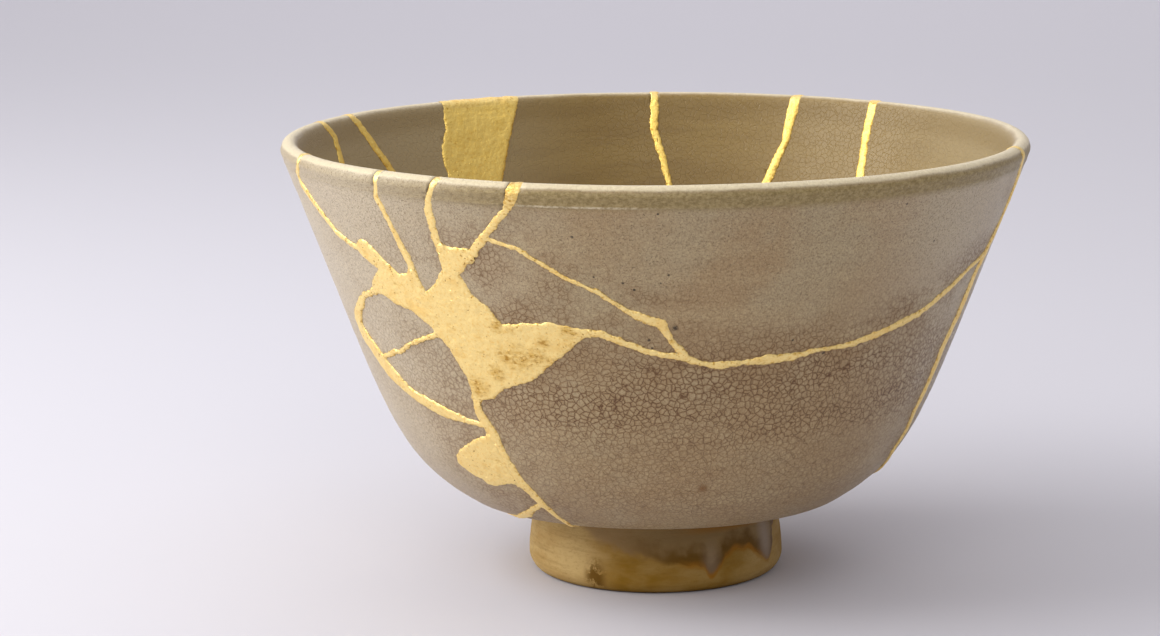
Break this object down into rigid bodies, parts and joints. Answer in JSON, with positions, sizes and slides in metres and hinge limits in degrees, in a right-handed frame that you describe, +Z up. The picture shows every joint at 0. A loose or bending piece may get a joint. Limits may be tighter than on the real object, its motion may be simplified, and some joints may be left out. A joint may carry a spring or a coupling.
{
  "type": "kintsugi tea bowl",
  "caption": "Footed stoneware tea bowl, broken and rejoined with raised gold lacquer seams and fills; stands on its ring foot and holds tea or is shown as an ornament.",
  "frame": {"origin": "middle of the foot's underside, on the surface that the bowl stands on", "axes": "+Z up along the bowl's turning axis, -Y the side with the large gold fill, +X to the right when the fill's side is seen from the front"},
  "size_m": [0.125, 0.1252, 0.0744],
  "materials": {
    "glazed_stoneware": "crackled grey-beige glaze, satin to glossy, on buff stoneware",
    "gold_lacquer": "powdered gold on lacquer, satin"
  },
  "bodies": {
    "root": {"sherd_base": "glazed_stoneware", "sherd_front_rim": "glazed_stoneware", "sherd_front_triangle": "glazed_stoneware", "sherd_rim_a": "glazed_stoneware", "sherd_rim_b": "glazed_stoneware", "sherd_rim_c": "glazed_stoneware", "sherd_loop_upper": "glazed_stoneware", "sherd_loop_lower": "glazed_stoneware", "sherd_left": "glazed_stoneware", "sherd_left_blade": "glazed_stoneware", "sherd_back_left": "glazed_stoneware", "sherd_back": "glazed_stoneware", "sherd_back_right": "glazed_stoneware", "sherd_back_wedge": "glazed_stoneware", "sherd_right": "glazed_stoneware", "fill_front": "gold_lacquer", "fill_lower": "gold_lacquer", "fill_back": "gold_lacquer", "seam_network": "gold_lacquer", "seam_rim_a": "gold_lacquer", "seam_rim_b": "gold_lacquer", "seam_rim_c": "gold_lacquer"}
  },
  "joints": []
}
